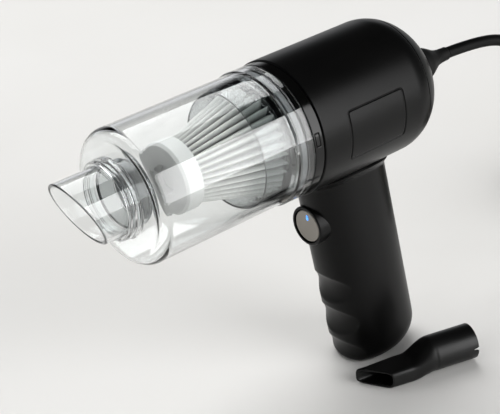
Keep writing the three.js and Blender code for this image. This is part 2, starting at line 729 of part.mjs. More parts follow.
// ---- crevice tool lying on the table ------------------------------------------------------------
function buildCreviceTool() {
  const wall = 1.4;
  // Half width, half height, middle height and squareness of the section at distance s.
  const stations = [
    [0, 1, 1, 1, 0],
    [27, 1, 1, 1, 0],
    [32, 0.98, 0.92, 0.92, 0.25],
    [37, 0.93, 0.7, 0.7, 0.6],
    [42, 0.88, 0.56, 0.56, 0.9],
    [TOOL_LENGTH + 9, 0.82, 0.5, 0.5, 1],
  ];
  const sides = 20;
  const section = (s, w, h, z, square, inset) => Array.from({ length: sides }, (_, i) => {
    const t = (2 * Math.PI * i) / sides;
    const power = THREE.MathUtils.lerp(1, 0.45, square);
    const y = (TOOL_R * w - inset) * signedPower(Math.cos(t), power);
    const up = (TOOL_R * h - inset) * signedPower(Math.sin(t), power);
    return [s, y, TOOL_R * z + up];
  });
  const outer = skin(stations.map(([s, w, h, z, q]) => section(s, w, h, z, q, 0)));
  const inner = skin(stations.map(([s, w, h, z, q], i) => {
    const reach = i === 0 ? -1 : i === stations.length - 1 ? 1 : 0;
    return section(s + reach, w, h, z, q, wall);
  }));
  const mouthCut = new THREE.BoxGeometry(40, 80, 60).translate(20, 0, 0);
  mouthCut.rotateZ(THREE.MathUtils.degToRad(42)).translate(TOOL_LENGTH, 0, 0);
  const notch = box(0, TOOL_R, TOOL_R, 6, 6, 2);
  const tool = solid(outer).subtract(solid(inner)).subtract(solid(mouthCut)).subtract(solid(notch));
  const mesh = add('crevice_tool', tool, satinBlack);
  mesh.position.set(TOOL_SOCKET[0], TOOL_SOCKET[1], 0.05);
  mesh.rotation.z = TOOL_TURN;
}

buildCup();
buildFilter();
buildLockRing();
buildHousing();
buildMotor();
buildHandle();
buildButton();
buildWiring();
buildCord();
buildCreviceTool();

export default root;
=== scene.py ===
"""Looks of a corded handheld vacuum with a clear dust cup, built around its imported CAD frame.

Lengths are millimetres in the shapes below and become metres where a mesh is made. The barrel lies
along X, +Z is up, and distances along the barrel are counted from the seam in front of the housing.
"""

import bpy
import numpy as np
from mathutils import Matrix, Vector


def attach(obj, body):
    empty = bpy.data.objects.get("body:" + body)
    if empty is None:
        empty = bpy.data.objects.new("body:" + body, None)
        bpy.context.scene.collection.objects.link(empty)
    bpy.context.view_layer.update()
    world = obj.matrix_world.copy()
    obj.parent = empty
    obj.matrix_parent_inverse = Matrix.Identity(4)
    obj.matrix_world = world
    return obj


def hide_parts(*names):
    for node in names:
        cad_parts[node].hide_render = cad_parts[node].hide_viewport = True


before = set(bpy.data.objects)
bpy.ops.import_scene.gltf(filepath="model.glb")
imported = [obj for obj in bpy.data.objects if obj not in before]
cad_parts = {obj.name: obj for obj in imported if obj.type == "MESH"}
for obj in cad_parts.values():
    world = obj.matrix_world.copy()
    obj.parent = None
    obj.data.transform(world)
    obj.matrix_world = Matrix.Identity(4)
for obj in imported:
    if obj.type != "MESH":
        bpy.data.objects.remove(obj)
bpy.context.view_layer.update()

# ---- sizes that repeat the frame's own ------------------------------------------------------------
SEAM_X = -57.0
AXIS_Z = 166.5
BODY_R = 39.0
BODY_WALL = 2.2
DOME_START = 70.6
DOME_LENGTH = 31.1
BAND_R = 38.3  # bare band of the lock ring
CATCH_ANGLE = np.radians(80.0)
CATCH_MIDDLE = -3.9  # along the barrel, from the seam
PANEL_MIDDLE = 39.25  # along the barrel, from the seam
PANEL_HALF = (19.95, 13.98)
PANEL_CORNER = 1.8
NOZZLE_MIDDLE_Z = AXIS_Z + 2.0
BUTTON_X = SEAM_X + 15.2
BUTTON_Z = AXIS_Z - 66.8
BUTTON_WELL = 12.7  # depth of the well behind the button's surround and spring
GRIP_MIDDLE = 36.2
GRIP_SLOPE = 0.157
GRIP_DEPTH = 28.5  # half of the grip's section, front to back
GRIP_WIDTH = 20.0  # half of it, side to side
GRIP_POWER = 2 / 2.15
GROOVES = np.array([54.3, 30.9, 7.6])
GROOVE_DEPTH = 2.7
GROOVE_HALF = 9.5  # half the height of one finger hollow
COIL_X = 252.0
COIL_R = 49.0
CORD_R = 3.4
TURN_PITCH = 7.2
PLUG_PLACE = (205.0, 20.0, 36.8)  # where the cord enters the plug
TOOL_R = 10.6
TOOL_LENGTH = 64.0
TOOL_WALL = 1.4
TOOL_SOCKET = (32.6, -53.8)
TOOL_TURN = np.radians(162.6)

# ---- studio ---------------------------------------------------------------------------------------
def make_camera():
    """A long lens above and in front of the nozzle, rolled a few degrees."""
    data = bpy.data.cameras.new("studio_camera")
    data.sensor_width = 36.0
    data.lens = 115.2
    data.clip_start = 0.05
    data.clip_end = 50.0
    camera = bpy.data.objects.new("studio_camera", data)
    right = Vector((0.7600, -0.6444, -0.0845))
    up = Vector((0.3631, 0.3131, 0.8776))
    forward = Vector((0.5390, 0.6977, -0.4719))
    turn = Matrix((right, up, -forward)).transposed().to_4x4()
    camera.matrix_world = Matrix.Translation((-0.5491, -0.6064, 0.5384)) @ turn
    bpy.context.scene.collection.objects.link(camera)
    bpy.context.scene.camera = camera


def soft_box(name, place, target, size, watts, in_reflections=True):
    """A rectangular soft light at place, facing target."""
    data = bpy.data.lights.new(name, "AREA")
    data.shape = "RECTANGLE"
    data.size, data.size_y = size
    data.energy = watts
    light = bpy.data.objects.new(name, data)
    light.location = place
    light.rotation_mode = "QUATERNION"
    light.rotation_quaternion = (Vector(target) - Vector(place)).to_track_quat("-Z", "Y")
    light.visible_glossy = in_reflections
    light.visible_camera = False
    bpy.context.scene.collection.objects.link(light)
    return light


# ---- colours and nodes ----------------------------------------------------------------------------
def linear(code):
    """An sRGB hex colour as linear red, green, blue and 1."""
    value = np.array([int(code[i:i + 2], 16) for i in (0, 2, 4)]) / 255.0
    low = value / 12.92
    high = ((value + 0.055) / 1.055) ** 2.4
    return (*np.where(value <= 0.04045, low, high).tolist(), 1.0)


def per_metre(millimetres):
    """The scale of a pattern whose features are this size."""
    return 1000.0 / millimetres


def add_node(tree, kind, inputs=None, **settings):
    """Adds a node, sets its properties, and gives each named input a value or a link."""
    node = tree.nodes.new(kind)
    for key, value in settings.items():
        setattr(node, key, value)
    for key, value in (inputs or {}).items():
        if isinstance(value, bpy.types.NodeSocket):
            tree.links.new(value, node.inputs[key])
        else:
            node.inputs[key].default_value = value
    return node


def new_material(name):
    """An empty node material with its output, and the Object coordinates of the piece."""
    material = bpy.data.materials.new(name)
    material.use_nodes = True
    tree = material.node_tree
    tree.nodes.clear()
    output = add_node(tree, "ShaderNodeOutputMaterial")
    place = add_node(tree, "ShaderNodeTexCoord").outputs["Object"]
    return material, tree, output, place


def finish_with(tree, output, sockets):
    """The one surface shader of a material."""
    shader = add_node(tree, "ShaderNodeBsdfPrincipled", sockets)
    tree.links.new(shader.outputs["BSDF"], output.inputs["Surface"])
    return shader


def moulded(name, colours, patch, rough, grain, height, lamps_through=False, **sockets):
    """Moulded plastic or rubber: colour and roughness drift between two values over patches of one
    size, and a bump of another size gives the grain of the mould. Clear ones let lamps through, and
    their colour is darkened where their face is seen at a slant: painted shade for the dark edges of a
    thick wall."""
    material, tree, output, place = new_material(name)
    drift = add_node(tree, "ShaderNodeTexNoise", {"Vector": place, "Scale": per_metre(patch),
                                                  "Detail": 4.0, "Roughness": 0.55})
    ramp = add_node(tree, "ShaderNodeValToRGB", {"Fac": drift.outputs["Fac"]})
    ramp.color_ramp.elements[0].position = 0.3
    ramp.color_ramp.elements[0].color = linear(colours[0])
    ramp.color_ramp.elements[1].position = 0.7
    ramp.color_ramp.elements[1].color = linear(colours[1])
    sheen = add_node(tree, "ShaderNodeMapRange", {"Value": drift.outputs["Fac"], "From Min": 0.3,
                                                  "From Max": 0.7, "To Min": rough[0],
                                                  "To Max": rough[1]})
    speck = add_node(tree, "ShaderNodeTexNoise", {"Vector": place, "Scale": per_metre(grain),
                                                  "Detail": 2.0})
    bump = add_node(tree, "ShaderNodeBump", {"Height": speck.outputs["Fac"], "Strength": 1.0,
                                             "Distance": height / 1000.0})
    colour = ramp.outputs["Color"]
    if lamps_through:
        # painted shade: a clear wall's colour is darkened where it is seen at a slant, in place of the
        # dark edges a thick wall shows
        slant = add_node(tree, "ShaderNodeLayerWeight", {"Blend": 0.5}).outputs["Facing"]
        kept = add_node(tree, "ShaderNodeMapRange", {"Value": slant, "From Min": 0.62, "From Max": 1.0,
                                                     "To Min": 1.0, "To Max": 0.3})
        colour = add_node(tree, "ShaderNodeVectorMath", {0: colour, "Scale": kept.outputs["Result"]},
                          operation="SCALE").outputs["Vector"]
    body = finish_with(tree, output, {
        "Base Color": colour, "Normal": bump.outputs["Normal"],
        "Roughness": sheen.outputs["Result"],
        **{key.replace("_", " "): value for key, value in sockets.items()}})
    if lamps_through:
        shadow = add_node(tree, "ShaderNodeLightPath").outputs["Is Shadow Ray"]
        clear = add_node(tree, "ShaderNodeBsdfTransparent", {"Color": linear("e4e6e6")})
        mixed = add_node(tree, "ShaderNodeMixShader", {0: shadow, 1: body.outputs["BSDF"],
                                                       2: clear.outputs["BSDF"]})
        tree.links.new(mixed.outputs["Shader"], output.inputs["Surface"])
    return material


# ABS from a spark-eroded mould: a soft broad highlight, with a grain finer than half a millimetre.
SATIN_ABS = moulded("spark_textured_abs", ("060606", "080808"), 30.0, (0.31, 0.36), 0.45, 0.005,
                    Specular_IOR_Level=0.17)
# ABS from a polished mould: shiny, and the long waves of the moulding bend what it shows.
GLOSS_ABS = moulded("polished_abs", ("040404", "060606"), 24.0, (0.10, 0.14), 9.0, 0.008,
                    Specular_IOR_Level=0.3)
# ABS of the crevice tool: the same black from a coarser mould.
TOOL_ABS = moulded("matt_moulded_abs", ("080808", "0b0b0b"), 18.0, (0.36, 0.43), 0.6, 0.008,
                   Specular_IOR_Level=0.35)
# Styrene acrylonitrile, injection moulded: water clear, with a trace of grey and mould waves.
CLEAR_SAN = moulded("clear_moulded_san", ("f8fafa", "fcfdfd"), 40.0, (0.0, 0.004), 16.0, 0.0015,
                    lamps_through=True, Transmission_Weight=1.0, IOR=1.5)
# Polypropylene left natural: milky, and light goes a little way in.
FROSTED_PP = moulded("frosted_polypropylene", ("cdcdcb", "d8d8d6"), 15.0, (0.38, 0.48), 0.5, 0.008,
                     Transmission_Weight=0.2, IOR=1.49)
# Smoky polystyrene: faintly grey and see-through, with a smooth face.
SMOKY_PS = moulded("smoky_polystyrene", ("c2c6c6", "ccd0d0"), 22.0, (0.0, 0.01), 8.0, 0.003,
                   lamps_through=True, Transmission_Weight=1.0, IOR=1.5)
# Thermoplastic rubber of the door and the gasket: dull and slightly pebbled.
GREY_RUBBER = moulded("grey_moulded_rubber", ("5a5c5d", "66686a"), 12.0, (0.55, 0.65), 0.5, 0.01)
BLACK_RUBBER = moulded("black_moulded_rubber", ("090909", "0d0d0d"), 12.0, (0.5, 0.6), 0.6, 0.008,
                       Specular_IOR_Level=0.2)
# PVC jacket drawn through a die: smooth along its length, softly shining.
CABLE_PVC = moulded("extruded_pvc_jacket", ("060606", "090909"), 20.0, (0.38, 0.46), 0.7, 0.008,
                    Specular_IOR_Level=0.14)
# Glass-filled nylon of the fan and the clamp: white, and a little fibrous.
WHITE_NYLON = moulded("glass_filled_nylon", ("d8d8d2", "e6e6e1"), 9.0, (0.45, 0.6), 0.5, 0.012)


def filter_paper():
    """Pleated filter paper: matt, with fibres about 0.2 mm wide, drawn at 0.5 mm so that they show. It
    greys towards the bottom of the folds in painted shade, by its depth under the cone through the
    ridges."""
    material, tree, output, place = new_material("pleated_glass_fibre_paper")
    stretched = add_node(tree, "ShaderNodeMapping", {"Vector": place, "Scale": (0.35, 1.0, 1.0)})
    fibres = add_node(tree, "ShaderNodeTexNoise", {"Vector": stretched.outputs["Vector"],
                                                   "Scale": per_metre(0.5), "Detail": 5.0,
                                                   "Roughness": 0.7})
    ramp = add_node(tree, "ShaderNodeValToRGB", {"Fac": fibres.outputs["Fac"]})
    ramp.color_ramp.elements[0].position = 0.25
    ramp.color_ramp.elements[0].color = linear("b9b9b6")
    ramp.color_ramp.elements[1].position = 0.75
    ramp.color_ramp.elements[1].color = linear("dededb")
    bump = add_node(tree, "ShaderNodeBump", {"Height": fibres.outputs["Fac"], "Strength": 1.0,
                                             "Distance": 0.00003})
    # painted shade: the colour darkens with depth below the ridge line, in place of the shade deep in
    # the folds
    axes = add_node(tree, "ShaderNodeSeparateXYZ", {"Vector": place})
    off_axis = add_node(tree, "ShaderNodeMath", {0: axes.outputs["Z"], 1: AXIS_Z / 1000.0},
                        operation="SUBTRACT")
    flat = add_node(tree, "ShaderNodeCombineXYZ", {"Y": axes.outputs["Y"], "Z": off_axis.outputs[0]})
    radius = add_node(tree, "ShaderNodeVectorMath", {0: flat.outputs["Vector"]}, operation="LENGTH")
    ridge = add_node(tree, "ShaderNodeMapRange", {"Value": axes.outputs["X"], "From Min": -0.124,
                                                  "From Max": -0.077, "To Min": 0.0175,
                                                  "To Max": 0.031})
    under = add_node(tree, "ShaderNodeMath", {0: ridge.outputs["Result"], 1: radius.outputs["Value"]},
                     operation="SUBTRACT")
    shade = add_node(tree, "ShaderNodeMapRange", {"Value": under.outputs[0], "From Min": 0.0003,
                                                  "From Max": 0.0036, "To Min": 1.0, "To Max": 0.22})
    colour = add_node(tree, "ShaderNodeVectorMath", {0: ramp.outputs["Color"],
                                                     "Scale": shade.outputs["Result"]},
                      operation="SCALE")
    finish_with(tree, output, {"Base Color": colour.outputs["Vector"], "Roughness": 0.92,
                               "Normal": bump.outputs["Normal"]})
    return material


def metal(name, code, rough, stroke, depth):
    """Bare metal with turning or stamping marks: fine bands across X bend the light."""
    material, tree, output, place = new_material(name)
    drawn = add_node(tree, "ShaderNodeMapping", {"Vector": place, "Scale": (1.0, 0.06, 0.06)})
    marks = add_node(tree, "ShaderNodeTexNoise", {"Vector": drawn.outputs["Vector"],
                                                  "Scale": per_metre(stroke), "Detail": 3.0})
    gloss = add_node(tree, "ShaderNodeMapRange", {"Value": marks.outputs["Fac"],
                                                  "To Min": rough - 0.06, "To Max": rough + 0.06})
    bump = add_node(tree, "ShaderNodeBump", {"Height": marks.outputs["Fac"], "Strength": 1.0,
                                             "Distance": depth / 1000.0})
    finish_with(tree, output, {"Base Color": linear(code), "Metallic": 1.0,
                               "Roughness": gloss.outputs["Result"],
                               "Normal": bump.outputs["Normal"]})
    return material


# Steel turned and ground: bright, with fine marks. Brass stamped: yellow and smoother.
TURNED_STEEL = metal("turned_steel", "b8b9ba", 0.28, 0.4, 0.004)
STAMPED_BRASS = metal("stamped_brass", "c9a760", 0.25, 0.6, 0.003)


def anodised():
    """Anodised aluminium with a bead-blasted face: warm grey, with an even sparkle of 0.35 mm."""
    material, tree, output, place = new_material("bead_blasted_anodised_aluminium")
    beads = add_node(tree, "ShaderNodeTexNoise", {"Vector": place, "Scale": per_metre(0.35),
                                                  "Detail": 2.0})
    gloss = add_node(tree, "ShaderNodeMapRange", {"Value": beads.outputs["Fac"], "To Min": 0.3,
                                                  "To Max": 0.44})
    bump = add_node(tree, "ShaderNodeBump", {"Height": beads.outputs["Fac"], "Strength": 1.0,
                                             "Distance": 0.000008})
    finish_with(tree, output, {"Base Color": linear("8f8b85"), "Metallic": 1.0,
                               "Roughness": gloss.outputs["Result"],
                               "Normal": bump.outputs["Normal"]})
    return material


def lit_lens():
    """Light pipe of the indicator: blue acrylic that glows, its strength drifting over patches of about
    1.2 mm.
    """
    material, tree, output, place = new_material("lit_blue_acrylic")
    cloud = add_node(tree, "ShaderNodeTexNoise", {"Vector": place, "Scale": per_metre(1.2),
                                                  "Detail": 1.0})
    glow = add_node(tree, "ShaderNodeMapRange", {"Value": cloud.outputs["Fac"], "From Min": 0.3,
                                                 "From Max": 0.7, "To Min": 0.8, "To Max": 1.4})
    finish_with(tree, output, {"Base Color": linear("5fa8ff"), "Roughness": 0.25,
                               "Emission Color": linear("5aa2ff"),
                               "Emission Strength": glow.outputs["Result"]})
    return material


def circuit_board():
    """Glass-epoxy board with a green solder mask: copper tracks show as paler bands 1 mm apart."""
    material, tree, output, place = new_material("solder_masked_glass_epoxy")
    tracks = add_node(tree, "ShaderNodeTexWave", {"Vector": place, "Scale": per_metre(1.0) / 6.28,
                                                  "Distortion": 2.5, "Detail": 2.0},
                      bands_direction="Z")
    ramp = add_node(tree, "ShaderNodeValToRGB", {"Fac": tracks.outputs["Fac"]})
    ramp.color_ramp.elements[0].position = 0.55
    ramp.color_ramp.elements[0].color = linear("12472c")
    ramp.color_ramp.elements[1].position = 0.65
    ramp.color_ramp.elements[1].color = linear("2c7a4c")
    finish_with(tree, output, {"Base Color": ramp.outputs["Color"], "Roughness": 0.35})
    return material


PAPER = filter_paper()
ANODISED = anodised()
LIT_LENS = lit_lens()
BOARD = circuit_board()


# ---- meshes ---------------------------------------------------------------------------------------
def make_mesh(name, grid, close_rows, close_columns=True):
    """A grid of points, rows by columns, becomes quads. Points that coincide are welded, so a row
    drawn in to one point closes as a pole, and the faces are turned outwards by the signed volume."""
    rows, columns = grid.shape[:2]
    index = np.arange(rows * columns).reshape(rows, columns)
    if close_rows:
        index = np.vstack([index, index[:1]])
    if close_columns:
        index = np.hstack([index, index[:, :1]])
    quads = np.stack([index[:-1, :-1], index[:-1, 1:], index[1:, 1:], index[1:, :-1]], -1)
    quads = quads.reshape(-1, 4)
    points, same = np.unique(np.round(grid.reshape(-1, 3) / 1000.0, 7), axis=0, return_inverse=True)
    quads = same.reshape(-1)[quads]
    repeated = quads == np.roll(quads, -1, axis=1)
    thin = quads[repeated.sum(1) == 1]
    triangles = thin[~repeated[repeated.sum(1) == 1]].reshape(-1, 3)
    quads = quads[~repeated.any(1)]
    every = np.vstack([quads[:, :3], quads[:, [0, 2, 3]], triangles])
    a, b, c = (points[every[:, i]] for i in range(3))
    if np.einsum("ij,ij->", a, np.cross(b, c)) < 0:
        quads, triangles = quads[:, ::-1], triangles[:, ::-1]
    mesh = bpy.data.meshes.new(name)
    mesh.from_pydata(points.tolist(), [], quads.tolist() + triangles.tolist())
    mesh.polygons.foreach_set("use_smooth", np.ones(len(mesh.polygons), bool))
    mesh.update()
    obj = bpy.data.objects.new(name, mesh)
    bpy.context.scene.collection.objects.link(obj)
    return obj


def piece(name, grid, body, material, nodes, close_rows=True):
    """One finished piece: its mesh, its material, the body it rides on and the nodes it stands for."""
    obj = make_mesh(name, grid, close_rows)
    obj.data.materials.append(material)
    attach(obj, body)
    if nodes:
        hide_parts(*nodes)
    return obj


def rounded(corners, radii, steps=7):
    """A closed outline whose corners give way to arcs of the given radii. Just outside each arc
    stands one more point, so that the flat beside it shades flat."""
    corner = np.array(corners, float)
    before, after = np.roll(corner, 1, axis=0) - corner, np.roll(corner, -1, axis=0) - corner
    reach = np.minimum(np.linalg.norm(before, axis=1), np.linalg.norm(after, axis=1))
    before /= np.linalg.norm(before, axis=1)[:, None]
    after /= np.linalg.norm(after, axis=1)[:, None]
    half = np.arccos(np.clip((before * after).sum(1), -1, 1)) / 2
    tangent = np.minimum(np.array(radii, float) / np.tan(half), 0.46 * reach)
    radius = tangent * np.tan(half)
    middle = (before + after) / np.linalg.norm(before + after, axis=1)[:, None]
    centre = corner + middle * (radius / np.sin(half))[:, None]
    start = corner + before * tangent[:, None] - centre
    end = corner + after * tangent[:, None] - centre
    sweep = (np.pi - 2 * half)[:, None, None]
    t = np.linspace(0, 1, steps)[None, :, None]
    arc = (np.sin((1 - t) * sweep) * start[:, None] + np.sin(t * sweep) * end[:, None]) / np.sin(sweep)
    arc = arc + centre[:, None]
    extra = np.minimum(tangent + 0.12, 0.48 * reach)[:, None]
    outline = np.concatenate([(corner + before * extra)[:, None], arc,
                              (corner + after * extra)[:, None]], axis=1)
    return outline.reshape(-1, 2)


def smooth_step(value, low, high):
    """0 below low, 1 above high, and a curve with level ends between them."""
    t = np.clip((value - low) / (high - low), 0, 1)
    return t * t * (3 - 2 * t)


def turned(profile, middle=(SEAM_X, 0.0, AXIS_Z), columns=160, angles=None):
    """Points (radius, distance) turned about a line along X through middle; distance runs along +X."""
    r, u = np.asarray(profile, float).T
    t = np.linspace(0, 2 * np.pi, columns, endpoint=False) if angles is None else angles
    return np.stack([middle[0] + u[:, None] + 0 * t, middle[1] + r[:, None] * np.sin(t),
                     middle[2] + r[:, None] * np.cos(t)], -1)


def to_axis(outline):
    """An outline that ends on the axis at both ends, for a solid of revolution."""
    return np.vstack([[0, outline[0, 1]], outline, [0, outline[-1, 1]]])


def signed_power(value, power):
    """The value's size raised to a power, with its sign kept."""
    return np.sign(value) * np.abs(value) ** power


def cushion_box(half, power=0.2, rows=33, columns=64):
    """A box with rounded edges: on a sphere's latitude and longitude each sine and cosine is raised
    to a small power, then scaled to the half sizes."""
    latitude = np.linspace(-np.pi / 2, np.pi / 2, rows)[:, None]
    longitude = np.linspace(0, 2 * np.pi, columns, endpoint=False)[None, :]
    ring = signed_power(np.cos(latitude), power)
    ring[[0, -1]] = 0
    return np.stack([half[0] * ring * signed_power(np.cos(longitude), power),
                     half[1] * ring * signed_power(np.sin(longitude), power),
                     half[2] * signed_power(np.sin(latitude), power) + 0 * longitude], -1)


def tube_along(path, radius, columns=14):
    """A round section carried along a path. The section's side vector is the path's direction
    crossed with the vertical, and the ends are closed to a point."""
    path = np.asarray(path, float)
    along = np.gradient(path, axis=0)
    along /= np.linalg.norm(along, axis=1)[:, None]
    side = np.cross(along, [0.0, 0.0, 1.0])
    side /= np.linalg.norm(side, axis=1)[:, None]
    up = np.cross(side, along)
    t = np.linspace(0, 2 * np.pi, columns, endpoint=False)[None, :, None]
    rings = path[:, None] + radius * (np.cos(t) * side[:, None] + np.sin(t) * up[:, None])
    ends = [np.repeat(path[[i]], columns, axis=0)[None] for i in (0, -1)]
    return np.concatenate([ends[0], rings, ends[1]])


# ---- camera, then the cord ------------------------------------------------------------------------
make_camera()

ROUTE = np.array([
    [74.3, 0, 166.5], [82, 0, 166.1], [90, -0.05, 165.5], [98, -0.2, 164.7], [106, -0.5, 163.6],
    [113, -1, 162.2], [120, -1.8, 159.9], [127, -3, 156], [133.5, -4.9, 150.6], [139, -7, 144.3],
    [144.4, -9.8, 136], [150, -14.2, 123.6], [154.8, -19.5, 110],
    [158.8, -25.2, 96], [162.4, -31, 82], [166, -36.8, 68], [170, -42.4, 54.4], [175, -47.6, 41.4],
    [181.2, -52.2, 29.6], [189, -55.8, 19.4], [198.4, -58.2, 11.4], [209, -59.3, 6.2],
    [216, -59.5, 4.4], [222.5, -59.5, 3.6],
])


def through(points, steps):
    """A Catmull-Rom curve through the points, with its end points repeated."""
    p = np.vstack([points[:1], points, points[-1:]])
    t = (np.arange(steps) / steps)[None, :, None]
    a, b, c, d = (p[i:len(p) - 3 + i][:, None] for i in range(4))
    curve = 0.5 * (2 * b + (c - a) * t + (2 * a - 5 * b + 4 * c - d) * t ** 2
                   + (3 * b - a - 3 * c + d) * t ** 3)
    return np.vstack([curve.reshape(-1, 3), points[-1:]])


def coil_path(turns, per_turn):
    """Turns wound beside and on each other, counter-clockwise from the -Y side: four to a layer,
    inwards on even layers and outwards on odd ones. A turn keeps its radius and height, and over
    its last sixth it moves across to the next turn's place."""
    t = np.linspace(0, turns, int(turns * per_turn) + 1)
    turn = np.minimum(np.floor(t), np.ceil(turns) - 1).astype(int)
    moved = smooth_step(t - turn, 0.82, 1.0)

    def place(number):
        layer, step = number // 4, number % 4
        step = np.where(layer % 2 == 0, 3 - step, step)
        return COIL_R + TURN_PITCH * (step - 1.5), 3.5 + TURN_PITCH * layer

    (r0, z0), (r1, z1) = place(turn), place(turn + 1)
    radius, height = r0 + (r1 - r0) * moved, z0 + (z1 - z0) * moved
    angle = 2 * np.pi * t - np.pi / 2
    return np.stack([COIL_X + radius * np.cos(angle), radius * np.sin(angle), height], -1)


def into_plug(start, heading, end, final, steps):
    """A cubic from the last turn up to the plug's cable entry, with set directions at both ends."""
    t = np.linspace(0, 1, steps)[1:, None]
    reach = 1.25 * np.linalg.norm(end - start)
    return ((2 * t ** 3 - 3 * t ** 2 + 1) * start + (t ** 3 - 2 * t ** 2 + t) * reach * heading
            + (3 * t ** 2 - 2 * t ** 3) * end + (t ** 3 - t ** 2) * reach * final)


def cord_path():
    """From the strain relief down to the table, round the coil, and up into the plug."""
    coil = coil_path(14.5, 40)
    heading = (coil[-1] - coil[-2]) / np.linalg.norm(coil[-1] - coil[-2])
    lead = into_plug(coil[-1], heading, np.array([205.0, 20.3, 36.8]), np.array([0.0, -1.0, 0.0]), 16)
    first = through(ROUTE, 4)
    joined = first[:-1][first[:-1, 0] < 214.0]
    bridge = into_plug(joined[-1], np.array([0.99, -0.02, -0.16]), coil[2],
                       (coil[3] - coil[2]) / np.linalg.norm(coil[3] - coil[2]), 10)
    whole = np.vstack([joined, bridge, coil[3:], lead])
    whole[:, 2] = np.maximum(whole[:, 2], CORD_R + 0.1)
    return whole


CORD = cord_path()
mains_cord = piece("mains_cord", tube_along(CORD, CORD_R), "root", CABLE_PVC,
                   ["cord", "cord_coil"], close_rows=False)


def plug_shell():
    """Moulded plug: a superellipse section carried along -Y, slim and ribbed at the cable entry, and
    broad and flat-sided at the face."""
    s = np.concatenate([[0], np.linspace(0, 0.6, 5), np.linspace(0.9, 17.4, 60),
                        np.linspace(17.8, 39.2, 40), np.linspace(39.5, 40, 6), [40]])[:, None]
    t = np.linspace(0, 2 * np.pi, 72, endpoint=False)[None, :]
    swell = smooth_step(s, 17, 26)
    ribs = 0.45 * np.cos(2 * np.pi * s / 3.4) * smooth_step(s, 1, 2.5) * (1 - smooth_step(s, 15, 17))
    end = np.sqrt(np.clip(1 - (np.clip(0.8 - s, 0, 0.8) / 0.8) ** 2, 0, 1))
    face = np.sqrt(np.clip(1 - (np.clip(s - 39.2, 0, 0.8) / 0.8) ** 2, 0, 1))
    edge = 0.8 * (end - 1) + 0.8 * (face - 1)
    wide = 4.5 + 0.05 * s + (6.4 - 0.02 * s) * swell + ribs + edge
    tall = 4.5 + 0.03 * s + 2.2 * swell + ribs + edge
    wide[[0, -1]], tall[[0, -1]] = 0, 0
    power = 1 - 0.42 * swell
    x, y, z = PLUG_PLACE
    return np.stack([x + wide * signed_power(np.cos(t), power), y - s + 0 * t,
                     z + tall * signed_power(np.sin(t), power)], -1)


plug = piece("plug_shell", plug_shell(), "root", BLACK_RUBBER, ["plug_body"],
             close_rows=False)


def tie_strap():
    """Hook-and-loop strap round the bundle of turns: a thin flat section carried round a superellipse
    that stands across the coil on its +X side, and flattened on the table."""
    t = np.linspace(0, 2 * np.pi, 160, endpoint=False)[:, None]
    s = np.linspace(0, 2 * np.pi, 24, endpoint=False)[None, :]
    out = 0.55 * signed_power(np.sin(s), 0.5)
    across = 4.5 * signed_power(np.cos(s), 0.25)
    radial = (15.2 + out) * signed_power(np.cos(t), 0.3)
    height = 14.5 + (15.0 + out) * signed_power(np.sin(t), 0.3)
    height = np.maximum(height, 0.75 - out)
    return np.stack([COIL_X + COIL_R + radial, across + 0 * t, height], -1)


strap = piece("tie_strap", tie_strap(), "root", BLACK_RUBBER, ["cord_tie"])


# ---- clear cup, collar and nozzle -----------------------------------------------------------------
cup_outline = rounded(
    [(38.3, -6.9), (38.3, -17), (37.4, -18), (37.4, -107), (20.5, -107), (20.5, -105),
     (35.4, -105), (35.4, -10.3), (36.9, -10.3), (36.9, -6.9)],
    [0.4, 0.4, 0.5, 6.5, 0.6, 0.4, 3.5, 0.3, 0.3, 0.3], steps=12)
piece("clear_cup", turned(cup_outline, columns=200), "cup", CLEAR_SAN, ["dust_cup"])

collar_outline = rounded(
    [(19.6, -115), (20.9, -115), (20.9, -113.9), (21.7, -113.5), (21.7, -112.3), (20.8, -111.9),
     (20.8, -111.2), (22, -110.8), (22, -107.35), (19.6, -107.35)],
    [0.3, 0.35, 0.15, 0.35, 0.35, 0.15, 0.15, 0.4, 0.3, 0.2])
inlet_middle = (SEAM_X, 0.0, NOZZLE_MIDDLE_Z)
piece("clear_collar", turned(collar_outline, inlet_middle), "cup", CLEAR_SAN,
      ["inlet_collar"])


def nozzle_tube():
    """A straight tube whose mouth is cut on a slant: every point's distance goes from the mouth's own
    distance at that height to the square inner end, and a small bead rounds the lip."""
    t = np.linspace(0, 2 * np.pi, 160, endpoint=False)[None, :]
    lip = np.radians(np.linspace(-90, 90, 13))
    lip_r = 18.4 + 0.85 * np.sin(lip)
    lip_d = 0.95 - 0.95 * np.cos(lip)
    wall = np.array([[17.6, 0.9], [17.6, 0.995], [17.75, 1.0], [19.05, 1.0], [19.2, 0.995], [19.2, 0.9]])
    share = np.concatenate([np.full(15, 0.0), wall[::-1, 1], [0.12]])
    radius = np.concatenate([[17.6], lip_r, [19.2], wall[::-1, 0], [17.6]])
    step = np.concatenate([[1.8], lip_d, [1.8], np.zeros(6), [0.0]])
    r, share, step = (v[:, None] for v in (radius, share, step))
    z = r * np.cos(t)
    mouth = -132 - 0.45 * z
    u = mouth + (-108.05 - mouth) * share + step
    return np.stack([SEAM_X + u, r * np.sin(t), NOZZLE_MIDDLE_Z + z], -1)


piece("clear_nozzle", nozzle_tube(), "nozzle", CLEAR_SAN, ["nozzle"])

sleeve_outline = rounded([(16.2, -107.3), (18.2, -107.3), (18.2, -98), (16.2, -98)], [0.4] * 4)
piece("inlet_tube", turned(sleeve_outline, inlet_middle, 120), "cup", SMOKY_PS,
      ["inlet_sleeve"])


def inlet_door():
    """Rubber door over the inlet: a disc with a raised bead near its edge."""
    r = np.array([0, 4, 9, 12.6, 13.2, 13.9, 14.6, 15.2, 16.6, 17.2, 17.4, 17.2, 16.6, 9, 0])
    u = np.array([-97.4, -97.4, -97.4, -97.4, -97.55, -97.6, -97.55, -97.4, -97.4, -97.3, -96.95,
                  -96.6, -96.4, -96.3, -96.3])
    return turned(np.stack([r, u], -1), inlet_middle, 120)


piece("inlet_door", inlet_door(), "flap", GREY_RUBBER, ["inlet_flap"],
      close_rows=False)


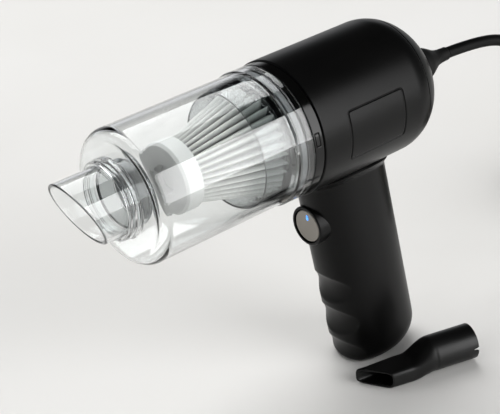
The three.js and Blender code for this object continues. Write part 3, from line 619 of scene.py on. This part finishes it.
# ---- filter ---------------------------------------------------------------------------------------
cap_outline = rounded(
    [(0.001, -74), (7, -74), (8, -78), (18.6, -78), (20, -76.6), (20, -67.3), (0.001, -67.3)],
    [0, 0.6, 0.7, 0.5, 0.5, 0.6, 0], steps=7)
piece("filter_end_cap", turned(to_axis(cap_outline[9:-9]), columns=120), "filter", FROSTED_PP,
      ["filter_cap"], close_rows=False)


def pleated_cone():
    """Folded paper on a cone: the radius at an angle is the ridge line less a rounded triangle wave,
    and each fold has its own small lean and depth. The wall is closed by an inner copy."""
    folds = 36
    chance = np.random.default_rng(7)
    t = np.linspace(0, 2 * np.pi, folds * 14, endpoint=False)[None, :]
    u = np.linspace(-67, -20, 40)[:, None]
    along = (u + 67) / 47
    fold = (t * folds / (2 * np.pi)).astype(int) % folds
    lean = chance.uniform(-0.07, 0.07, folds)[fold] * np.sin(np.pi * along)
    deep = 1 + chance.uniform(-0.12, 0.12, folds)[fold]
    wave = np.arccos(0.993 * np.cos(folds * t + 2 * np.pi * lean)) / np.pi
    ridge = 17.5 + 13.5 * along
    depth = (2.9 + 1.5 * along) * deep
    outer = ridge - depth * (1 - wave)
    inner = outer - 0.5
    r = np.concatenate([outer, inner[::-1]])
    u = np.concatenate([u, u[::-1]])
    return np.stack([SEAM_X + u + 0 * t, r * np.sin(t), AXIS_Z + r * np.cos(t)], -1)


piece("pleated_cone", pleated_cone(), "filter", PAPER, ["filter_pleats"])

bowl_outline = rounded(
    [(31.6, -36.6), (32.7, -37), (33.6, -32), (34.3, -26), (34.6, -20), (34.6, -14.5), (27, -14.5),
     (27, -19.7), (32, -19.7), (32.7, -26), (32.3, -32)],
    [0.4, 0.4, 3, 3, 3, 0.5, 0.5, 0.4, 0.8, 3, 3])
piece("filter_bowl", turned(bowl_outline), "filter", SMOKY_PS, ["filter_frame"])

seal_outline = rounded([(28.5, -14.2), (34.9, -14.2), (34.9, -10.4), (28.5, -10.4)], [0.6] * 4)
piece("filter_seal", turned(seal_outline), "filter", GREY_RUBBER, ["filter_gasket"])


# ---- lock ring and catches ------------------------------------------------------------------------
def rounded_box_distance(x, y, half_x, half_y, corner):
    """Distance outside a rounded rectangle, negative inside it."""
    qx, qy = np.abs(x) - (half_x - corner), np.abs(y) - (half_y - corner)
    outside = np.hypot(np.maximum(qx, 0), np.maximum(qy, 0))
    return outside + np.minimum(np.maximum(qx, qy), 0) - corner


def from_side(t):
    """Angle from the nearer of the two sides of the barrel, where Y is largest or smallest."""
    return np.abs(np.mod(t, np.pi) - np.pi / 2) * np.sign(np.mod(t, np.pi) - np.pi / 2)


def lock_ring():
    """A ring with a narrow front part for the cup's skirt and a bare band behind it. The band is let in
    round each catch, 0.8 mm deep inside a rounded rectangle."""
    face_u = np.concatenate([[-6.57, -6.45, -6.2], np.arange(-6.0, -0.6, 0.2), [-0.55, -0.4, -0.32]])
    face_r = BAND_R - 0.35 * np.array([0.6, 0.2, 0.05, *np.zeros(len(face_u) - 6), 0.05, 0.2, 0.6])
    rest = np.array([[37.8, -0.3], [30.6, -0.3], [30.4, -0.5], [30.4, -2.8], [30.6, -3.0],
                     [33.4, -3.0], [33.6, -3.2], [33.6, -9.7], [33.8, -10.0], [36.2, -10.0],
                     [36.6, -9.6], [36.6, -6.75], [36.75, -6.6], [37.8, -6.6]])
    profile = np.vstack([np.stack([face_r, face_u], -1), rest])
    near = np.radians(np.concatenate([np.arange(73, 87, 0.35), np.arange(273, 287, 0.35)]))
    angles = np.unique(np.round(np.concatenate([near, np.radians(np.arange(0, 360, 2.5))]), 5))
    grid = turned(profile, angles=angles)
    arc = BAND_R * (np.abs(np.mod(angles + np.pi, 2 * np.pi) - np.pi) - CATCH_ANGLE)[None, :]
    gap = rounded_box_distance(profile[:, 1:] - CATCH_MIDDLE, arc, 1.55, 3.75, 0.5)
    let_in = 0.8 * (1 - smooth_step(gap, -0.25, 0.15)) * (profile[:, :1] > 38.0)
    scale = 1 - let_in / profile[:, :1]
    grid[..., 1] *= scale
    grid[..., 2] = AXIS_Z + (grid[..., 2] - AXIS_Z) * scale
    return grid


piece("twist_ring", lock_ring(), "root", GLOSS_ABS, ["lock_ring"])


def catch_pad(side):
    """A push catch: a rounded box bent to the ring's curve, with two fine ribs across its face."""
    grid = cushion_box((0.45, 3.3, 1.2), 0.22, 49, 96)
    out, arc, u = grid[..., 0], grid[..., 1], grid[..., 2]
    out = out + 0.12 * np.exp(-((np.abs(arc) - 1.1) / 0.3) ** 2) * (out > 0.2)
    r = 37.8 + out
    angle = side * (CATCH_ANGLE + arc / 38.1)
    return np.stack([SEAM_X + CATCH_MIDDLE + u, r * np.sin(angle), AXIS_Z + r * np.cos(angle)], -1)


piece("push_catch_left", catch_pad(1), "catch_left", GLOSS_ABS, ["catch_left"],
      close_rows=False)
piece("push_catch_right", catch_pad(-1), "catch_right", GLOSS_ABS, ["catch_right"],
      close_rows=False)


# ---- motor housing and rear cap -------------------------------------------------------------------
def dome_radius(u, inset=0.0):
    """Radius of the body at a distance: straight, then a quarter of an ellipse to the crown."""
    t = np.clip((u - DOME_START) / (DOME_LENGTH - inset), 0, 1)
    return (BODY_R - inset) * np.sqrt(1 - t * t)


def barrel_shell():
    """The housing's wall. A groove follows the rounded outline of the panel on each side: the surface
    sinks by a bell curve of the distance to that outline. Grid lines crowd where the groove runs."""
    u = np.concatenate([[0.02, 0.12, 0.3, 0.6], np.linspace(1.2, 17.6, 12), np.arange(18, 23, 0.2),
                        np.linspace(24, 55, 16), np.arange(55.8, 60.8, 0.2),
                        np.linspace(61.5, 78.4, 20), [78.8, 79.1, 79.3, 79.42, 79.48]])
    ends = np.clip(0.45 - u, 0, 0.45) ** 2 / 0.45 + np.clip(u - 79.05, 0, 0.45) ** 2 / 0.45
    outer = np.stack([dome_radius(u) - ends, u], -1)
    back = np.array([79.4, 76, 72, 68, 40, 10, 0.1])
    profile = np.vstack([outer, np.stack([dome_radius(back, BODY_WALL), back], -1)])
    half = np.degrees(np.arcsin(PANEL_HALF[1] / BODY_R))
    crowd = np.concatenate([c + s * np.arange(half - 7.5, half + 2.2, 0.33)
                            for c in (90, 270) for s in (1, -1)])
    angles = np.unique(np.round(np.radians(np.concatenate([crowd, np.arange(0, 360, 2.4)])), 4))
    grid = turned(profile, angles=angles)
    height = BODY_R * np.sin(from_side(angles))[None, :]
    gap = rounded_box_distance(profile[:, 1:] - PANEL_MIDDLE, height, *PANEL_HALF, PANEL_CORNER)
    sunk = 0.6 * np.exp(-(gap / 0.36) ** 2) + 0.05 * (1 - smooth_step(gap, -0.4, 0.4))
    sunk = sunk * (np.arange(len(profile)) < len(u))[:, None]
    scale = 1 - sunk / profile[:, :1]
    grid[..., 1] *= scale
    grid[..., 2] = AXIS_Z + (grid[..., 2] - AXIS_Z) * scale
    return grid


piece("barrel_shell", barrel_shell(), "root", SATIN_ABS,
      ["motor_housing", "side_panel_left", "side_panel_right"])


def tail_cap():
    """The cap that closes the dome, with a small round on its front edge and a hole in its crown."""
    u = np.concatenate([[79.82, 79.86, 79.95, 80.1, 80.3], DOME_START + DOME_LENGTH * np.sin(
        np.radians(np.linspace(18.4, 71.4, 44)))])
    ends = np.clip(80.25 - u, 0, 0.45) ** 2 / 0.45
    outer = np.stack([dome_radius(u) - ends, u], -1)
    hole = np.array([[12.2, 100.15], [12.0, 99.9], [12.0, 94.3], [15.2, 94.3], [15.2, 96.0]])
    back = np.array([96.0, 94.4, 91, 87, 83, 79.9])
    return turned(np.vstack([outer, hole, np.stack([dome_radius(back, BODY_WALL), back], -1)]))


piece("tail_cap", tail_cap(), "root", SATIN_ABS, ["rear_cap"])


def cord_guard():
    """Strain relief: a flange inside the cap, then a hollow taper to the cord, with a soft bead at its
    tip. Radii are joined by a curve through them."""
    known_u = np.array([94, 96, 98, 100.4, 102.5, 105, 109, 113, 117, 120.5, 124, 128, 130.6])
    known_r = np.array([11.7, 11.7, 11.7, 11.7, 11.3, 10.8, 10, 9.2, 7.2, 5.4, 4.4, 4.05, 4.0])
    bend = through(np.stack([known_r, known_u, 0 * known_u], -1), 5)[:, :2]
    tip = np.array([[3.9, 130.9], [3.6, 131.0], [0, 131.0]])
    return turned(np.vstack([[[0, 91], [13.6, 91], [14, 91.4], [14, 93.6], [13.6, 94]], bend, tip]),
                  columns=96)


piece("cord_guard", cord_guard(), "root", BLACK_RUBBER, ["strain_relief"],
      close_rows=False)


# ---- handle ---------------------------------------------------------------------------------------

def grip_section(z, t, inset=0.0):
    """Points of the grip at height z and angle t: a superellipse whose middle leans back as it goes
    down. The foot's edge follows an arc, small in front, larger at the sides and largest behind. Finger
    hollows are shallow ellipsoids let into the front."""
    c, s = np.cos(t), np.sin(t)
    middle = SEAM_X + GRIP_MIDDLE + GRIP_SLOPE * (AXIS_Z - z)
    radius = 10 + np.where(c < 0, 6.6 * c, 9 * c)
    low = np.clip(radius - (z - 0.5), 0, None) / radius
    drawn = radius * (1 - np.sqrt(np.clip(1 - low * low, 0, 1)))
    round_front = np.arccos(np.clip(-c, -1, 1)) / np.radians(47)
    hollow = sum(np.clip(1 - ((z - groove) / GROOVE_HALF) ** 2 - round_front ** 2, 0, 1) ** 0.85
                 for groove in GROOVES)
    x = (GRIP_DEPTH - inset - drawn) * signed_power(c, GRIP_POWER) + GROOVE_DEPTH * hollow
    y = (GRIP_WIDTH - inset - 0.9 * drawn) * signed_power(s, GRIP_POWER)
    return middle + x, y, z + 0 * x


def grip_shell():
    """The handle's outside from the sole up to the barrel. The last rows of each column stop on the
    barrel's own cylinder, with a small flare there. A well behind the button takes its surround and
    spring."""
    t = np.linspace(0, 2 * np.pi, 220, endpoint=False)[None, :]
    y_top = GRIP_WIDTH * signed_power(np.sin(t), GRIP_POWER)
    saddle = AXIS_Z - np.sqrt(39.25 ** 2 - y_top ** 2)
    share = np.concatenate([0.5 + 21 * (1 - np.cos(np.radians(np.linspace(0, 90, 26)))),
                            np.linspace(22.2, 118, 104)])[:, None]
    low = share + 0 * t
    climb = 1 - (1 - np.linspace(0, 1, 26)[1:, None]) ** 1.6
    high = 118 + climb * (saddle - 118)
    z = np.vstack([low, high])
    flare = 2.4 * (1 - smooth_step(saddle - z, 0, 6.0)) ** 2
    x, y, z = grip_section(z, t, -flare)
    from_axis = np.hypot(y, z - BUTTON_Z)
    front = (np.cos(t) < 0) * (1 - smooth_step(from_axis, 9.4, 11.4))
    x = x + front * np.clip(BUTTON_X + BUTTON_WELL - x, 0, None)
    sides = np.stack([x, y, z], -1)

    def ring(inset, height):
        rx, ry = grip_section(np.full_like(t, 0.5), t, inset)[:2]
        return np.stack([rx, ry, np.full_like(rx, height)], -1)

    under = [ring(1.7, 1.55) * [0, 0, 1] + [SEAM_X + GRIP_MIDDLE + 20, 0, 0], ring(1.75, 1.55),
             ring(1.6, 1.4), ring(1.6, 0.7), ring(1.45, 0.52)]
    top = sides[-1:] * [0, 0, 1] + [SEAM_X + 42.0, 0, 0]
    top[..., 2] = sides[-1, :, 2].mean()
    return np.concatenate([*under, sides, top])


piece("grip_shell", grip_shell(), "root", SATIN_ABS, ["handle_shell"],
      close_rows=False)


# ---- button ---------------------------------------------------------------------------------------
button_middle = (BUTTON_X, 0.0, BUTTON_Z)
surround_outline = rounded(
    [(10.2, 0.0), (11.9, 0.0), (11.9, 10.5), (7, 10.5), (7, 9.2), (10.2, 9.2)],
    [0.5, 0.8, 0.4, 0.2, 0.2, 0.2], steps=9)
piece("button_surround", turned(surround_outline, button_middle, 120), "root", SATIN_ABS,
      ["button_bezel"])


def button_cap():
    """A dished metal cap: the face sinks by a shallow bowl, and its rim turns over in an arc."""
    r = np.linspace(0, 8.8, 24)
    face = np.stack([r, 1.35 - 0.95 * (r / 8.8) ** 2], -1)
    turn = np.radians(np.linspace(0, 90, 9))[1:]
    rim = np.stack([8.8 + 1.05 * np.sin(turn), 1.45 - 1.05 * np.cos(turn)], -1)
    rest = np.array([[9.85, 3], [9.85, 6.2], [9.6, 6.4], [2.6, 6.4], [2.6, 11.1], [0, 11.1]])
    return turned(np.vstack([face, rim, rest]), button_middle, 120)


piece("button_cap", button_cap(), "button", ANODISED, ["power_button"], close_rows=False)


def indicator():
    """Light pipe: an upright rod with round ends, standing just proud of the button's face."""
    grid = cushion_box((1.4, 0.85, 2.1), 0.75, 33, 40)
    return grid + [BUTTON_X + 1.8, 0, BUTTON_Z + 5.2]


piece("indicator", indicator(), "button", LIT_LENS, ["light_pipe"], close_rows=False)


# ---- crevice tool ---------------------------------------------------------------------------------
def crevice_tool():
    """A shell lofted from a round socket to a flat mouth. Width, height and middle height follow one
    S-curve along the tool, the section squares up with it, the mouth is cut across at 42 degrees, and
    a notch is cut in the socket's rim. The inside is the same loft drawn in by the wall."""
    t = np.linspace(0, 2 * np.pi, 180, endpoint=False)[None, :]

    def loft(s, inset):
        e = smooth_step(s, 27, 43)
        power = 1 - 0.55 * e
        middle = TOOL_R * (1 - 0.46 * e - 0.04 * smooth_step(s, 43, 70))
        wide = TOOL_R * (1 - 0.12 * e - 0.06 * smooth_step(s, 43, 70)) - inset
        tall = middle - inset
        step = 0.25 * (1 - smooth_step(s, 26.4, 27)) * (inset < 0.7)
        y = (wide + step) * signed_power(np.cos(t), power)
        z = middle + tall * signed_power(np.sin(t), power)
        return y, np.maximum(z, 0.0)

    end_y = loft(np.full_like(t, TOOL_LENGTH), 0.0)[0]
    end = TOOL_LENGTH - end_y * np.tan(np.radians(42))
    start = 3.0 * (1 - smooth_step(np.abs(np.mod(t + np.pi, 2 * np.pi) - np.pi), 0.08, 0.12))
    rows = []
    lip = np.radians(np.linspace(-80, 80, 7))
    for share, inset in [(v, 0.0) for v in np.linspace(0.012, 0.985, 90)]:
        rows.append((start + share * (end - start), inset))
    rows += [(end - 0.7 + 0.7 * np.cos(a), 0.7 + 0.7 * np.sin(a)) for a in lip]
    rows += [(start + v * (end - start), TOOL_WALL) for v in np.linspace(0.985, 0.012, 60)]
    rows += [(start + 0.5 - 0.5 * np.cos(a), 0.7 - 0.7 * np.sin(a)) for a in lip]
    grid = []
    for s, inset in rows:
        y, z = loft(s, inset)
        grid.append(np.stack([s + 0 * y, y, z], -1)[0])
    local = np.array(grid)
    along, across = np.cos(TOOL_TURN), np.sin(TOOL_TURN)
    x = TOOL_SOCKET[0] + local[..., 0] * along - local[..., 1] * across
    y = TOOL_SOCKET[1] + local[..., 0] * across + local[..., 1] * along
    return np.stack([x, y, local[..., 2] + 0.1], -1)


piece("crevice_nozzle", crevice_tool(), "tool", TOOL_ABS, ["crevice_tool"])


# ---- nodes that stay as the frame has them --------------------------------------------------------
CARRIED = {
    "handle_screw_1": TURNED_STEEL, "handle_screw_2": TURNED_STEEL, "intake_grille": SATIN_ABS,
    "fan_shroud": WHITE_NYLON, "impeller": WHITE_NYLON, "motor_shaft": TURNED_STEEL,
    "motor_front_bell": TURNED_STEEL, "motor_can": TURNED_STEEL, "motor_mount_front": BLACK_RUBBER,
    "motor_mount_rear": BLACK_RUBBER, "motor_lead": CABLE_PVC, "supply_lead": CABLE_PVC,
    "cord_clamp": WHITE_NYLON, "clamp_screw_1": TURNED_STEEL, "clamp_screw_2": TURNED_STEEL,
    "sole_pad": BLACK_RUBBER, "button_spring": TURNED_STEEL, "switch_body": BLACK_RUBBER,
    "control_board": BOARD, "plug_blade_left": STAMPED_BRASS, "plug_blade_right": STAMPED_BRASS,
}
for node_name, node_material in CARRIED.items():
    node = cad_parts[node_name]
    node.data.materials.clear()
    node.data.materials.append(node_material)


# ---- floor and light ------------------------------------------------------------------------------
def studio():
    """A pale table top that runs out of view, a world that is bright low behind the vacuum and dark
    overhead, one tall soft box to the side of the camera, and two fill lights that give no highlight."""
    half = 6000.0
    corners = np.array([[[-half, -half, 0], [half, -half, 0]], [[-half, half, 0], [half, half, 0]]])
    floor = make_mesh("table_top", corners, False, close_columns=False)
    floor.data.materials.append(moulded("honed_pale_stone", ("d7d6d3", "dbdad8"), 400.0, (0.4, 0.5),
                                        3.0, 0.01, Specular_IOR_Level=0.35))

    world = bpy.data.worlds.new("studio_world")
    bpy.context.scene.world = world
    world.use_nodes = True
    tree = world.node_tree
    tree.nodes.clear()
    sky = add_node(tree, "ShaderNodeTexCoord").outputs["Generated"]
    axes = add_node(tree, "ShaderNodeSeparateXYZ", {"Vector": sky})
    low = add_node(tree, "ShaderNodeMapRange", {"Value": axes.outputs["Z"], "From Min": 0.08,
                                                "From Max": 0.32, "To Min": 1.0, "To Max": 0.0})
    behind = add_node(tree, "ShaderNodeMapRange", {"Value": axes.outputs["Y"], "From Min": -0.3,
                                                   "From Max": 0.6, "To Min": 0.12, "To Max": 1.0})
    both = add_node(tree, "ShaderNodeMath", {0: low.outputs["Result"], 1: behind.outputs["Result"]},
                    operation="MULTIPLY")
    lifted = add_node(tree, "ShaderNodeMath", {0: both.outputs["Value"], 1: 0.012}, operation="ADD")
    light = add_node(tree, "ShaderNodeBackground", {"Color": (0.85, 0.86, 0.88, 1.0),
                                                    "Strength": lifted.outputs["Value"]})
    add_node(tree, "ShaderNodeOutputWorld", {"Surface": light.outputs["Background"]})

    soft_box("key_box", (0.55, -1.52, 0.62), (-0.02, 0.0, 0.13), (1.25, 1.5), 30.0)
    soft_box("top_fill", (0.35, 1.2, 1.9), (0.3, 0.7, 0.0), (2.2, 2.2), 64.0, in_reflections=False)
    soft_box("left_fill", (-1.3, -0.2, 0.8), (-0.05, 0.0, 0.12), (1.0, 1.0), 5.0,
             in_reflections=False)
    bpy.context.scene.view_settings.view_transform = "Standard"


studio()
